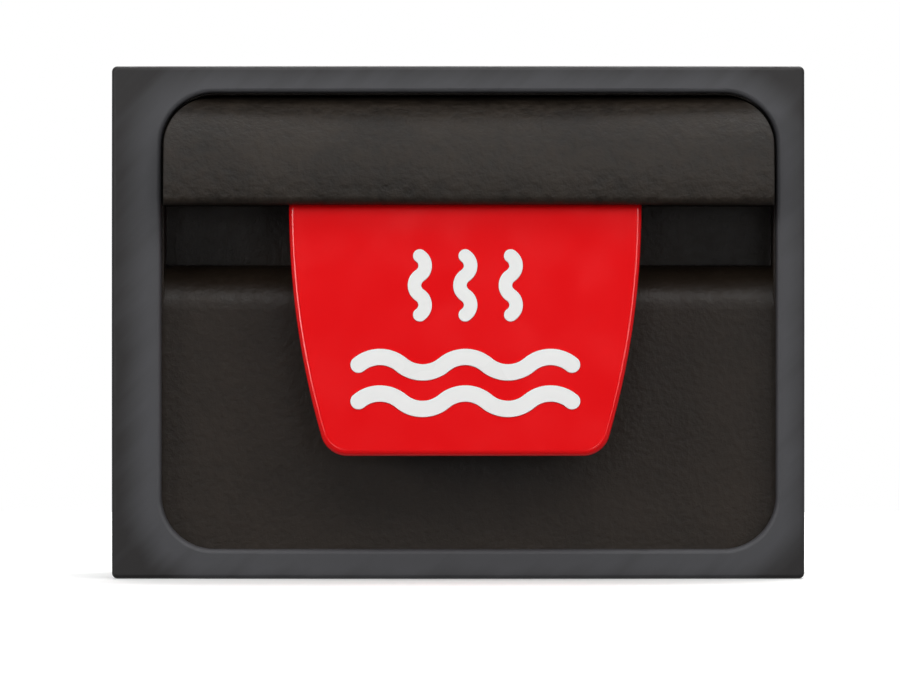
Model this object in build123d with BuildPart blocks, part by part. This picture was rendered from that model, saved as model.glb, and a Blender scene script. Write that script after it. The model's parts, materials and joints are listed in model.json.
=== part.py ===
from build123d import *
import math
import os

# Hot water dispense module: a framed front with a push paddle under a rounded hood, and behind it
# the lever, the seat valve and the back plate that make the paddle run hot water.
#
# X runs to the right, Y to the back and Z up, in millimetres. The origin is the middle of the four
# bulkhead holes, on the back plate's rear face. A reach is a distance in front of the panel face
# that the front frame is sealed against. A height is measured from the middle of the frame.

os.makedirs("parts", exist_ok=True)

# Front frame
fascia_left = 50.0          # paddle's middle to the frame's left edge
fascia_right = 48.0         # paddle's middle to the frame's right edge
fascia_height = 72.5
left_rail = 7.0
right_rail = 4.0
top_rail = 3.75
bottom_rail = 4.15
recess_radius = 7.5
fascia_corner = 0.8
fascia_crest = 10.3         # panel face to the crown, over the middle of the opening
fascia_rear = 5.0           # panel face to the back of the frame's front wall
crown_radius = 700.0
fascia_edge = 0.6           # rounding of the frame's front edges
skirt_wall = 1.6
post_radius = 1.9
post_gap = 0.3              # screw post to the housing's rounded corner
gasket_thickness = 1.0
gasket_inset = 0.2

# Front housing behind the frame: lower face, rounded shoulder, back wall and rear flange
rim_gap = 0.2               # frame's front wall to the housing behind it
rim_width = 0.9             # housing past the opening, hidden by the frame
rim_inset = 0.3             # housing's side walls inside the opening, around the hood
liner_wall = 2.0
shoulder_radius = 6.2
shoulder_land = 5.8         # flat on top of the shoulder, in front of the back wall
mouth_gap = 8.5             # hood's lip down to the top of the shoulder
flange_set = 2.0            # back wall to the flange
flange_thickness = 2.0
flange_margin = 0.6         # flange inside the frame's skirt
window_sill = 0.6           # lip's underside up to the window's lower edge
window_side = 4.0           # bracket to the end of the window
liner_post_radius = 3.2
liner_post_rise = 10.0      # opening's lower edge up to the lower pair of posts
liner_post_drop = 6.3       # start of the shoulder down to the upper pair

# Hood
fit_gap = 0.2               # hood to the housing's side walls
brow_reach = 17.0
brow_radius = 13.85
lip_straight = 1.6          # upright part of the lip under the round
lip_edge = 1.2
hood_wall = 2.0
soffit_wall = 1.2
slot_gap = 1.2              # paddle's sides to the slot
slot_rear_gap = 8.25        # paddle's back to the rear of the slot, room for the lever
boss_radius = 3.2
boss_length = 6.0
boss_bite = 0.45            # how far a boss runs into the hood's end wall
boss_drop = 9.0             # hood's top down to the bosses

# Push paddle
paddle_width = 50.0
paddle_foot_width = 39.0
paddle_drop = 35.8          # lip down to the paddle's lower edge, along its face
paddle_hidden = 2.75        # part of the face above the lip
paddle_corner = 4.0
paddle_depth = 6.0
paddle_tilt = 9.0           # degrees, lower edge forward
paddle_set = 2.65           # lip's front back to the paddle's face
paddle_gap = 0.65           # paddle's face to the front of the slot
cap_wall = 2.0
cap_skin = 2.2
cap_edge = 0.8
cap_draft = 10.0            # degrees, sides drawn in towards the back
cap_boss_radius = 2.6
cap_boss_spacing = 20.0
cap_boss_drop = 14.9        # lip's height down to the bosses, along the face

# Symbol on the paddle: three wisps of steam over two lines of waves
symbol_depth = 0.5
symbol_proud = 0.12
symbol_gap = 0.05
steam_stroke = 1.9
steam_drop = 11.5           # lip down to the middle of the steam, along the face
steam_height = 8.4
steam_spacing = 6.4
steam_sway = 0.75
steam_bow_count = 3
wave_stroke = 2.3
wave_drop = 25.4
wave_length = 30.0
wave_spacing = 5.2
wave_rise = 1.1
wave_bow_count = 5

# Lever and hinge
hinge_setback = 15.0        # lip's front back to the hinge
hinge_rise = 5.75           # middle of the brow's round up to the hinge
lever_arm = 28.0
push_angle = 10.0           # degrees
hub_radius = 4.8
neck_width = 30.0
neck_end_radius = 2.0
neck_drop = 2.9             # lip's height down to the neck's end, along the face
lever_plate = 3.0
lever_plate_height = 26.0
plate_gap = 0.5             # lever's plate inside the cap
fork_width = 14.0
fork_radius = 2.25
fork_slot = 5.8
fork_slot_length = 9.0
gusset_radius = 4.0
gusset_share = 0.55         # of the arm, where the stiffening web runs out
fork_play = 0.3
bush_wall = 1.5
bush_length = 8.0
bush_flange = 0.8
bush_flange_radius = 4.6
press_gap = 0.02            # bush in the hub
side_play = 0.3
pin_radius = 2.0
pin_gap = 0.05
pin_end = 0.8               # pin past the clip's groove
clip_thickness = 0.7
clip_width = 1.7
clip_mouth = 2.6
groove_depth = 0.5
groove_play = 0.1

# Side brackets
bracket_gap = 1.0           # paddle's side out to the bracket's inner face
bracket_thickness = 1.5
bracket_eye = 4.8
bracket_web = 7.0
bracket_window_radius = 4.0
bend_radius = 1.5
ear_inset = 6.0             # bracket's outer face to the ear's screws
ear_margin = 5.0
foot_inset = 7.5
foot_margin = 6.0
foot_pitch = 28.0
knee_set = 4.0              # front ear back to the knee under the bracket's arm
crest_share = 0.27          # of the bracket's depth, where its top edge starts to fall

# Back plate
plate_thickness = 2.0
plate_margin = 5.0          # bracket's foot out to the plate's side
plate_drop = 2.25           # frame's top down to the plate's top
plate_corner = 4.0
plate_flange = 10.0
plate_flange_margin = 12.0
bolt_inset = 7.0            # plate's side to the bulkhead holes
bolt_drop = 6.0             # plate's top down to the bulkhead holes
bolt_hole = 2.25

# Valve
valve_standoff = 26.0       # back plate's rear face to the valve's axis
stem_radius = 2.5
slide_gap = 0.08            # stem in its guides
head_radius = 6.0
head_flange = 1.5
head_flats = 8.0
head_height = 5.5
head_bore = 4.5
thread_gap = 0.05
buffer_thickness = 1.5
buffer_radius = 5.0
cage_roof = 2.0
cage_radius = 9.0
cage_bore = 6.6
cage_window = 7.5
cage_window_margin = 1.2
spring_length = 10.0
spring_radius = 4.6
spring_wire = 0.9
spring_turns = 4
spring_gap = 0.05
spring_seat_thickness = 1.0
spring_seat_radius = 6.0
stem_clip_thickness = 0.8
stem_clip_width = 2.4
stem_clip_mouth = 3.2
cage_gap = 0.5              # stem's clip to the floor of the cage
bonnet_flange = 4.0
bonnet_flats = 26.0
bonnet_seal_thickness = 1.0
gland_length = 9.0
gland_radius = 10.0
seal_section = 0.9
seal_gap = 0.05
foot_gap = 0.4              # raised stem to the gland
foot_radius = 7.0
foot_thickness = 1.5
washer_radius = 7.5
washer_thickness = 2.5
spigot_inset = 0.4
seat_gap = 0.05
seat_lip = 1.2
seat_bore = 5.0
seat_width = 1.5
body_wall = 2.6
body_floor = 3.0
neck_length = 5.0
neck_radius = 8.0

# Spout
spout_seal_thickness = 1.5
tube_radius = 6.0
tube_wall = 1.0
tube_flange = 1.5
tube_flange_gap = 0.5
spout_drop = 8.0
spout_chamfer = 0.3
nut_wall = 2.0
nut_flats = 20.0
nut_clearance = 1.4         # spout nut's top to the valve body
nut_tube_gap = 0.2
insert_height = 7.0
insert_wall = 0.7
insert_gap = 0.1
insert_inset = 0.6

# Inlet
branch_radius = 8.5
shoulder_flange = 3.0
shoulder_flange_radius = 12.0
inlet_gasket_thickness = 1.5
shank_radius = 8.0
shank_length = 9.0          # behind the back plate
shank_hole_gap = 0.3
inlet_bore = 5.5
locknut_flats = 24.0
locknut_height = 6.0
tail_seal_thickness = 1.0
tail_flats = 17.0
tail_hex = 5.0
tail_thread = 6.0
tail_radius = 5.0
tail_length = 16.0
tail_bore = 3.5
tail_chamfer = 0.8
hex_chamfer = 0.5

# Screws
small_shank = 0.8
small_head = 2.0
small_head_height = 1.5
small_hole_gap = 0.35
screw_shank = 1.2
screw_head = 2.8
screw_head_height = 1.9
screw_hole_gap = 0.45
pilot_gap = 0.05
fascia_screw_grip = 8.0
liner_screw_grip = 9.0
hood_screw_grip = 5.0
paddle_screw_grip = 2.4
paddle_screw_head = 3.6
drive_width = 0.6
drive_depth = 0.8
drive_share = 1.2           # length of the cross drive over the head's radius
plate_shank = 1.5
plate_screw_head = 2.9
plate_screw_cone = 1.4
plate_hole_gap = 0.15
plate_nut_flats = 5.5
plate_nut_height = 2.4
plate_screw_end = 0.8

overrun = 1.0               # past the surface, for cuts
span = 200.0                # wider than the module, for sections cut right across

# Places worked out from the sizes
fascia_width = fascia_left + fascia_right
fascia_x = (fascia_right - fascia_left) / 2
recess_left = fascia_left - left_rail
recess_right = fascia_right - right_rail
recess_top = fascia_height / 2 - top_rail
recess_bottom = bottom_rail - fascia_height / 2
recess_width = recess_left + recess_right
recess_height = recess_top - recess_bottom
recess_x = (recess_right - recess_left) / 2
recess_z = (recess_top + recess_bottom) / 2
hood_inset = rim_inset + fit_gap
hood_top = recess_top - hood_inset
brow_z = hood_top - brow_radius
soffit_z = brow_z - lip_straight
hinge_reach = brow_reach - hinge_setback
hinge_z = brow_z + hinge_rise
seat_depth = valve_standoff + lever_arm - hinge_reach
hinge_y = -(seat_depth + hinge_reach)
valve_y = -valve_standoff
shoulder_top = soffit_z - mouth_gap
shoulder_z = shoulder_top - shoulder_radius
face_reach = fascia_rear - rim_gap
back_reach = face_reach - shoulder_radius - shoulder_land
flange_reach = back_reach - liner_wall - flange_set
flange_rear = flange_reach - flange_thickness
plate_reach = plate_thickness - seat_depth
bracket_x = paddle_width / 2 + bracket_gap
hub_length = 2 * (bracket_x - side_play - bush_flange)

lift = lever_arm * math.sin(math.radians(push_angle))
head_z = hinge_z + fork_radius + fork_play
cage_top = hinge_z - fork_radius - fork_play - buffer_thickness
roof_z = cage_top - cage_roof
spring_low = roof_z - spring_length
clip_top = spring_low - spring_seat_thickness
clip_low = clip_top - stem_clip_thickness
cage_floor = clip_low - cage_gap
bonnet_seat = cage_floor - bonnet_flange
body_top = bonnet_seat - bonnet_seal_thickness
gland_low = cage_floor - gland_length
foot_top = gland_low - lift - foot_gap
foot_low = foot_top - foot_thickness
washer_low = foot_low - washer_thickness
seat_top = washer_low - seat_gap
chamber_floor = seat_top - seat_lip
body_low = chamber_floor - body_floor
neck_low = body_low - neck_length
tube_top = neck_low - spout_seal_thickness
tube_flange_low = tube_top - tube_flange
nut_low = tube_flange_low - nut_wall
tube_low = nut_low - spout_drop
inlet_z = (gland_low + chamber_floor) / 2
chamber_radius = gland_radius + thread_gap
body_radius = chamber_radius + body_wall


# Planes that face the front, at a reach and across the paddle
def front_plane(reach):
    return Plane.XZ.offset(seat_depth + reach)


def hinge_plane(x):
    return Plane(origin=(x, hinge_y, hinge_z), x_dir=(0, 1, 0), z_dir=(1, 0, 0))


def valve_plane(z):
    return Plane(origin=(0, valve_y, z))


def inlet_plane(y):
    return Plane(origin=(0, y, inlet_z), x_dir=(1, 0, 0), z_dir=(0, -1, 0))


tilt_sine = math.sin(math.radians(paddle_tilt))
tilt_cosine = math.cos(math.radians(paddle_tilt))
side_plane = Plane(origin=(0, -seat_depth, 0), x_dir=(0, -1, 0), z_dir=(-1, 0, 0))
paddle_plane = Plane(
    origin=(0, -(seat_depth + brow_reach - paddle_set), soffit_z),
    x_dir=(1, 0, 0),
    z_dir=(0, -tilt_cosine, tilt_sine),
)

# Screw places, seen from the front
corner_reach = (recess_radius + rim_width + post_gap + post_radius) / math.sqrt(2)
post_places = [
    (recess_x + side * (recess_width / 2 - recess_radius + corner_reach),
     recess_z + end * (recess_height / 2 - recess_radius + corner_reach))
    for side in (-1, 1)
    for end in (-1, 1)
]
ear_x = bracket_x + bracket_thickness + ear_inset
ear_heights = (recess_bottom + liner_post_rise, shoulder_z - liner_post_drop)
ear_places = [(side * ear_x, z) for side in (-1, 1) for z in ear_heights]
boss_set = hood_inset + hood_wall + boss_radius - boss_bite
boss_z = hood_top - boss_drop
boss_places = [(boss_set - recess_left, boss_z), (recess_right - boss_set, boss_z)]
foot_x = bracket_x + bracket_thickness + foot_inset
plate_width = 2 * (foot_x + foot_margin + plate_margin)
foot_places = [(side * foot_x, end * foot_pitch / 2) for side in (-1, 1) for end in (-1, 1)]
cap_places = [(side * cap_boss_spacing / 2, -cap_boss_drop) for side in (-1, 1)]


# Outlines that several pieces share
def recess_outline(inset):
    with BuildSketch() as outline:
        with Locations((recess_x, recess_z)):
            RectangleRounded(recess_width - 2 * inset, recess_height - 2 * inset, recess_radius - inset)
    return outline.sketch


def frame_outline(inset):
    with BuildSketch() as outline:
        with Locations((fascia_x, 0)):
            Rectangle(fascia_width - 2 * inset, fascia_height - 2 * inset)
    return outline.sketch


# Side section of the hood: flat top, quarter round brow and upright lip
def brow_section(inset, floor, rear):
    front = brow_reach - inset
    top = hood_top - inset
    round_reach = brow_reach - brow_radius
    with BuildSketch(side_plane) as section:
        with BuildLine():
            Polyline((round_reach, top), (rear, top), (rear, floor), (front, floor), (front, brow_z))
            CenterArc((round_reach, brow_z), brow_radius - inset, 0, 90)
        make_face()
    return section.sketch


# Side section of the front housing from its rear to an end: upright face, rounded shoulder, back wall
def liner_section(inset, low, top, rear):
    front = face_reach - inset
    land = shoulder_top - inset
    back = back_reach - inset
    round_reach = face_reach - shoulder_radius
    with BuildSketch(side_plane) as section:
        with BuildLine():
            Polyline(
                (round_reach, land), (back, land), (back, top), (rear, top), (rear, low), (front, low),
                (front, shoulder_z),
            )
            CenterArc((round_reach, shoulder_z), shoulder_radius - inset, 0, 90)
        make_face()
    return section.sketch


# Face of the paddle: upright at the lip, then drawn in along an arc to a narrower foot
def paddle_outline(inset, top):
    half = paddle_width / 2 - inset
    foot_half = paddle_foot_width / 2 - inset
    low = inset - paddle_drop
    with BuildSketch() as outline:
        with BuildLine():
            Polyline((half, 0), (half, top), (-half, top), (-half, 0))
            TangentArc((-half, 0), (-foot_half, low), tangent=(0, -1))
            Line((-foot_half, low), (foot_half, low))
            TangentArc((half, 0), (foot_half, low), tangent=(0, -1))
        make_face()
        fillet(outline.vertices().group_by(Axis.Y)[0], paddle_corner - inset)
    return outline.sketch


# A wavy stroke of equal bows, level or upright
def wavy_wire(start, bow, rise, bows, upright):
    along = Vector(0, 1) if upright else Vector(1, 0)
    across = Vector(1, 0) if upright else Vector(0, 1)
    with BuildLine() as line:
        for index in range(bows):
            first = Vector(*start) + along * bow * index
            crest = first + along * bow / 2 + across * rise * (-1) ** index
            ThreePointArc(first, crest, first + along * bow)
    return line.wires()[0]


def symbol_outline(growth):
    steam_low = -steam_drop - steam_height / 2
    wave_bow = wave_length / wave_bow_count
    with BuildSketch() as outline:
        for column in (-1, 0, 1):
            start = (column * steam_spacing, steam_low)
            wisp = wavy_wire(start, steam_height / steam_bow_count, steam_sway, steam_bow_count, True)
            SlotArc(wisp, steam_stroke + 2 * growth)
        for row in (-1, 1):
            start = (-wave_length / 2, row * wave_spacing / 2 - wave_drop)
            wave = wavy_wire(start, wave_bow, wave_rise, wave_bow_count, False)
            SlotArc(wave, wave_stroke + 2 * growth)
    return outline.sketch


# Screws whose heads sit behind the seat and whose shanks run forward
def cross_screws(seat, places, shank_radius, grip, head_radius, head_height):
    with BuildPart() as screws:
        with BuildSketch(seat):
            with Locations(*places):
                Circle(head_radius)
        extrude(amount=-head_height)
        with BuildSketch(seat):
            with Locations(*places):
                Circle(shank_radius)
        extrude(amount=grip)
        with BuildSketch(seat.offset(-head_height)):
            with Locations(*places):
                Rectangle(head_radius * drive_share, drive_width)
                Rectangle(drive_width, head_radius * drive_share)
        extrude(amount=drive_depth, mode=Mode.SUBTRACT)
    return screws


# A hexagon standing on a plane, its corners eased at both ends
def hex_prism(base, flats, height):
    with BuildPart() as prism:
        with BuildSketch(base):
            Circle(flats / math.sqrt(3))
        extrude(amount=height)
        chamfer(prism.edges().filter_by(GeomType.CIRCLE), hex_chamfer)
        with BuildSketch(base):
            RegularPolygon(flats / 2, 6, major_radius=False)
        extrude(amount=height, mode=Mode.INTERSECT)
    return prism.part


# Retaining ring with an open mouth towards the plane's own x
def open_ring(base, inner_radius, width, mouth, thickness):
    with BuildPart() as ring:
        with BuildSketch(base):
            Circle(inner_radius + width)
            Circle(inner_radius, mode=Mode.SUBTRACT)
            with Locations((inner_radius + width / 2, 0)):
                Rectangle(inner_radius + width, mouth, mode=Mode.SUBTRACT)
        extrude(amount=thickness)
    return ring.part


# Front frame: crowned rails around the opening, a skirt down to the panel and four screw posts
with BuildPart() as fascia:
    with BuildSketch(front_plane(gasket_thickness)) as rim:
        add(frame_outline(0))
        fillet(rim.vertices(), fascia_corner)
    extrude(amount=fascia_crest - gasket_thickness)
    with BuildSketch(front_plane(gasket_thickness)):
        add(frame_outline(skirt_wall))
    extrude(amount=fascia_rear - gasket_thickness, mode=Mode.SUBTRACT)
    with BuildSketch(front_plane(fascia_rear)):
        with Locations(*post_places):
            Circle(post_radius)
    extrude(amount=flange_reach - fascia_rear)
    with BuildSketch(front_plane(gasket_thickness)):
        add(recess_outline(0))
    extrude(amount=fascia_crest, mode=Mode.SUBTRACT)
    with Locations((fascia_x, crown_radius - seat_depth - fascia_crest, 0)):
        Sphere(crown_radius, mode=Mode.INTERSECT)
    fillet(fascia.faces().filter_by(GeomType.SPHERE).edges(), fascia_edge)
    with BuildSketch(front_plane(flange_reach)):
        with Locations(*post_places):
            Circle(small_shank + pilot_gap)
    extrude(amount=fascia_screw_grip + overrun, mode=Mode.SUBTRACT)
fascia.part.label = "fascia"
export_step(fascia.part, "parts/fascia.step")

with BuildPart() as panel_gasket:
    with BuildSketch(front_plane(0)):
        add(frame_outline(gasket_inset))
        add(frame_outline(skirt_wall), mode=Mode.SUBTRACT)
    extrude(amount=gasket_thickness)
panel_gasket.part.label = "panel_gasket"
export_step(panel_gasket.part, "parts/panel_gasket.step")

# Front housing: a block behind the opening, cut back in front around the hood and hollow behind
liner_low = recess_bottom - rim_width
liner_top = recess_top + rim_width
with BuildPart() as liner_mouth:
    with BuildSketch(front_plane(back_reach)):
        add(recess_outline(rim_inset))
    extrude(amount=face_reach - back_reach)
    extrude(
        liner_section(0, liner_low, liner_top, back_reach - overrun),
        amount=span, both=True, mode=Mode.SUBTRACT,
    )

with BuildPart() as liner_core:
    with BuildSketch(front_plane(flange_rear)):
        add(recess_outline(liner_wall - rim_width))
    extrude(amount=face_reach - flange_rear)
    extrude(
        liner_section(liner_wall, liner_low, liner_top, flange_rear),
        amount=span, both=True, mode=Mode.INTERSECT,
    )

with BuildPart() as liner:
    with BuildSketch(front_plane(flange_reach)):
        add(recess_outline(-rim_width))
    extrude(amount=face_reach - flange_reach)
    with BuildSketch(front_plane(flange_rear)):
        add(frame_outline(skirt_wall + flange_margin))
    extrude(amount=flange_thickness)
    add(liner_mouth.part, mode=Mode.SUBTRACT)
    add(liner_core.part, mode=Mode.SUBTRACT)
    with BuildSketch(front_plane(face_reach - liner_wall)):
        with Locations(*ear_places):
            Circle(liner_post_radius)
    extrude(amount=flange_rear - face_reach + liner_wall)
    with BuildSketch(front_plane(flange_rear)):
        with Locations(*ear_places):
            Circle(screw_shank + pilot_gap)
    extrude(amount=liner_screw_grip + overrun, mode=Mode.SUBTRACT)
    with BuildSketch(front_plane(flange_rear)):
        with Locations(*post_places):
            Circle(small_shank + small_hole_gap)
    extrude(amount=flange_thickness, mode=Mode.SUBTRACT)
    window_low = soffit_z + window_sill
    window_top = liner_top - liner_wall
    with BuildSketch(front_plane(back_reach - liner_wall)):
        with Locations((0, (window_low + window_top) / 2)):
            Rectangle(2 * (bracket_x + bracket_thickness + window_side), window_top - window_low)
        with Locations(*boss_places):
            Circle(screw_shank + screw_hole_gap)
    extrude(amount=liner_wall, mode=Mode.SUBTRACT)
liner.part.label = "liner"
export_step(liner.part, "parts/liner.step")

# Hood with a rounded brow, closed ends and a slotted soffit that the paddle hangs through
slot_front = brow_reach - paddle_set + paddle_gap
slot_depth = paddle_gap + paddle_depth + slot_rear_gap
with BuildPart() as hood_core:
    with BuildSketch(front_plane(back_reach - overrun)):
        add(recess_outline(hood_inset + hood_wall))
    extrude(amount=brow_reach - back_reach + overrun)
    extrude(
        brow_section(hood_wall, soffit_z + soffit_wall, back_reach - overrun),
        amount=span, both=True, mode=Mode.INTERSECT,
    )

with BuildPart() as hood:
    with BuildSketch(front_plane(back_reach)):
        add(recess_outline(hood_inset))
    extrude(amount=brow_reach - back_reach)
    extrude(brow_section(0, soffit_z, back_reach), amount=span, both=True, mode=Mode.INTERSECT)
    fillet(hood.edges().filter_by(Axis.X).group_by(Axis.Z)[0].sort_by(Axis.Y)[0], lip_edge)
    add(hood_core.part, mode=Mode.SUBTRACT)
    with BuildSketch(Plane.XY.offset(soffit_z)):
        with Locations((0, slot_depth / 2 - seat_depth - slot_front)):
            Rectangle(paddle_width + 2 * slot_gap, slot_depth)
    extrude(amount=soffit_wall, mode=Mode.SUBTRACT)
    with BuildSketch(front_plane(back_reach)):
        with Locations(*boss_places):
            Circle(boss_radius)
    extrude(amount=boss_length)
    with BuildSketch(front_plane(back_reach)):
        with Locations(*boss_places):
            Circle(screw_shank + pilot_gap)
    extrude(amount=hood_screw_grip, mode=Mode.SUBTRACT)
hood.part.label = "hood"
export_step(hood.part, "parts/hood.step")

# Paddle cap, a thin shell open at the back and at the top, where the lever comes in
with BuildPart() as paddle_cap:
    with BuildSketch(paddle_plane):
        add(paddle_outline(0, paddle_hidden))
    extrude(amount=-paddle_depth, taper=cap_draft)
    fillet(paddle_cap.faces().filter_by(paddle_plane).sort_by(Axis.Y)[0].edges(), cap_edge)
    with BuildSketch(paddle_plane.offset(-cap_skin)):
        add(paddle_outline(cap_wall, paddle_hidden + overrun))
    extrude(amount=cap_skin - paddle_depth, mode=Mode.SUBTRACT)
    with BuildSketch(paddle_plane.offset(-cap_skin)):
        with Locations(*cap_places):
            Circle(cap_boss_radius)
    extrude(amount=-lever_plate)
    with BuildSketch(paddle_plane.offset(-cap_skin - lever_plate)):
        with Locations(*cap_places):
            Circle(small_shank + pilot_gap)
    extrude(amount=lever_plate, mode=Mode.SUBTRACT)
    with BuildSketch(paddle_plane):
        add(symbol_outline(symbol_gap))
    extrude(amount=-symbol_depth, mode=Mode.SUBTRACT)
paddle_cap.part.label = "paddle_cap"
export_step(paddle_cap.part, "parts/paddle_cap.step")

with BuildPart() as paddle_symbol:
    with BuildSketch(paddle_plane.offset(-symbol_depth)):
        add(symbol_outline(0))
    extrude(amount=symbol_depth + symbol_proud)
paddle_symbol.part.label = "paddle_symbol"
export_step(paddle_symbol.part, "parts/paddle_symbol.step")

# Lever: hub on the hinge, neck and plate for the cap in front, forked arm to the valve behind
neck_depth = cap_skin + lever_plate - neck_end_radius / 2
neck_end = (
    brow_reach - paddle_set + neck_drop * tilt_sine - neck_depth * tilt_cosine,
    soffit_z - neck_drop * tilt_cosine - neck_depth * tilt_sine,
)
lever_plate_width = paddle_foot_width - 2 * (cap_wall + plate_gap)
bush_radius = pin_radius + pin_gap + bush_wall
with BuildPart() as lever:
    with BuildSketch(hinge_plane(-hub_length / 2)):
        Circle(hub_radius)
    extrude(amount=hub_length)
    with BuildSketch(side_plane):
        with Locations((hinge_reach, hinge_z)):
            Circle(hub_radius)
        with Locations(neck_end):
            Circle(neck_end_radius)
        make_hull()
    extrude(amount=neck_width / 2, both=True)
    with BuildSketch(side_plane):
        with Locations((hinge_reach - lever_arm / 2, hinge_z)):
            SlotCenterToCenter(lever_arm, 2 * fork_radius)
    extrude(amount=fork_width / 2, both=True)
    with BuildSketch(side_plane):
        with Locations((hinge_reach, hinge_z)):
            Circle(gusset_radius)
        with Locations((hinge_reach - lever_arm * gusset_share, hinge_z)):
            Circle(fork_radius)
        make_hull()
    extrude(amount=fork_width / 2, both=True)
    with BuildSketch(paddle_plane.offset(-cap_skin)):
        with Locations((0, -plate_gap - lever_plate_height / 2)):
            RectangleRounded(lever_plate_width, lever_plate_height, paddle_corner)
        with Locations(*cap_places):
            Circle(cap_boss_radius + pilot_gap, mode=Mode.SUBTRACT)
    extrude(amount=-lever_plate)
    with BuildSketch(valve_plane(hinge_z - hub_radius)):
        Circle(fork_slot / 2)
        with Locations((0, fork_slot_length / 2)):
            Rectangle(fork_slot, fork_slot_length)
    extrude(amount=2 * hub_radius, mode=Mode.SUBTRACT)
    with BuildSketch(hinge_plane(-hub_length / 2)):
        Circle(bush_radius + press_gap)
    extrude(amount=hub_length, mode=Mode.SUBTRACT)
lever.part.label = "lever"
export_step(lever.part, "parts/lever.step")

with BuildPart() as lever_bushes:
    with BuildSketch(hinge_plane(hub_length / 2)):
        Circle(bush_flange_radius)
    extrude(amount=bush_flange)
    with BuildSketch(hinge_plane(hub_length / 2)):
        Circle(bush_radius)
    extrude(amount=-bush_length)
    with BuildSketch(hinge_plane(hub_length / 2 - bush_length)):
        Circle(pin_radius + pin_gap)
    extrude(amount=bush_length + bush_flange, mode=Mode.SUBTRACT)
    mirror(about=Plane.YZ)
lever_bushes.part.label = "lever_bushes"
export_step(lever_bushes.part, "parts/lever_bushes.step")

# Hinge pin held by a ring outside each bracket
bracket_outer = bracket_x + bracket_thickness
groove_width = clip_thickness + 2 * groove_play
groove_x = bracket_outer + groove_play
groove_radius = pin_radius - groove_depth
pin_half = groove_x + groove_width + pin_end
with BuildPart() as hinge_pin:
    with BuildSketch(hinge_plane(-pin_half)):
        Circle(pin_radius)
    extrude(amount=2 * pin_half)
    chamfer(hinge_pin.edges(), groove_depth)
    for place in (groove_x, -groove_x - groove_width):
        with BuildSketch(hinge_plane(place)):
            Circle(pin_radius + overrun)
            Circle(groove_radius, mode=Mode.SUBTRACT)
        extrude(amount=groove_width, mode=Mode.SUBTRACT)
hinge_pin.part.label = "hinge_pin"
export_step(hinge_pin.part, "parts/hinge_pin.step")

with BuildPart() as hinge_clips:
    add(open_ring(
        hinge_plane(groove_x + groove_play), groove_radius + pin_gap, clip_width, clip_mouth, clip_thickness,
    ))
    mirror(about=Plane.YZ)
hinge_clips.part.label = "hinge_clips"
export_step(hinge_clips.part, "parts/hinge_clips.step")

# Side brackets, folded from sheet: an eye for the pin, an ear to the housing, a foot to the plate
ear_low = ear_heights[0] - ear_margin
ear_high = ear_heights[1] + ear_margin
foot_high = foot_pitch / 2 + foot_margin
crest_reach = flange_rear - crest_share * (flange_rear - plate_reach)
with BuildPart() as right_bracket:
    with BuildSketch(side_plane.offset(-bracket_x)) as cheek:
        with BuildLine():
            Polyline(
                (flange_rear, ear_low), (flange_rear, ear_high),
                (flange_rear - knee_set, hinge_z - bracket_eye), (hinge_reach, hinge_z - bracket_eye),
                (hinge_reach, hinge_z + bracket_eye), (crest_reach, hinge_z + bracket_eye),
                (plate_reach, foot_high), (plate_reach, -foot_high),
                close=True,
            )
        make_face()
        with Locations((hinge_reach, hinge_z)):
            Circle(bracket_eye)
            Circle(pin_radius + pin_gap, mode=Mode.SUBTRACT)
        with Locations(((flange_rear + plate_reach) / 2, 0)):
            RectangleRounded(
                flange_rear - plate_reach - 2 * bracket_web, 2 * (foot_high - bracket_web),
                bracket_window_radius, mode=Mode.SUBTRACT,
            )
    extrude(amount=-bracket_thickness)
    with BuildSketch(front_plane(flange_rear)):
        with Locations(((bracket_x + ear_x + ear_margin) / 2, (ear_low + ear_high) / 2)):
            Rectangle(ear_x + ear_margin - bracket_x, ear_high - ear_low)
        with Locations(*ear_places):
            Circle(screw_shank + screw_hole_gap, mode=Mode.SUBTRACT)
    extrude(amount=-bracket_thickness)
    with BuildSketch(front_plane(plate_reach)):
        with Locations(((bracket_x + foot_x + foot_margin) / 2, 0)):
            Rectangle(foot_x + foot_margin - bracket_x, 2 * foot_high)
        with Locations(*foot_places):
            Circle(plate_shank + plate_hole_gap, mode=Mode.SUBTRACT)
    extrude(amount=bracket_thickness)
    upright = right_bracket.edges().filter_by(Axis.Z)
    fillet(upright.group_by(Axis.X)[0].group_by(Axis.Y)[0], bend_radius)
    upright = right_bracket.edges().filter_by(Axis.Z)
    fillet(upright.group_by(Axis.X)[0].group_by(Axis.Y)[-1], bend_radius)
right_bracket.part.label = "right_bracket"
export_step(right_bracket.part, "parts/right_bracket.step")

with BuildPart() as left_bracket:
    mirror(right_bracket.part, about=Plane.YZ)
left_bracket.part.label = "left_bracket"
export_step(left_bracket.part, "parts/left_bracket.step")

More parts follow.
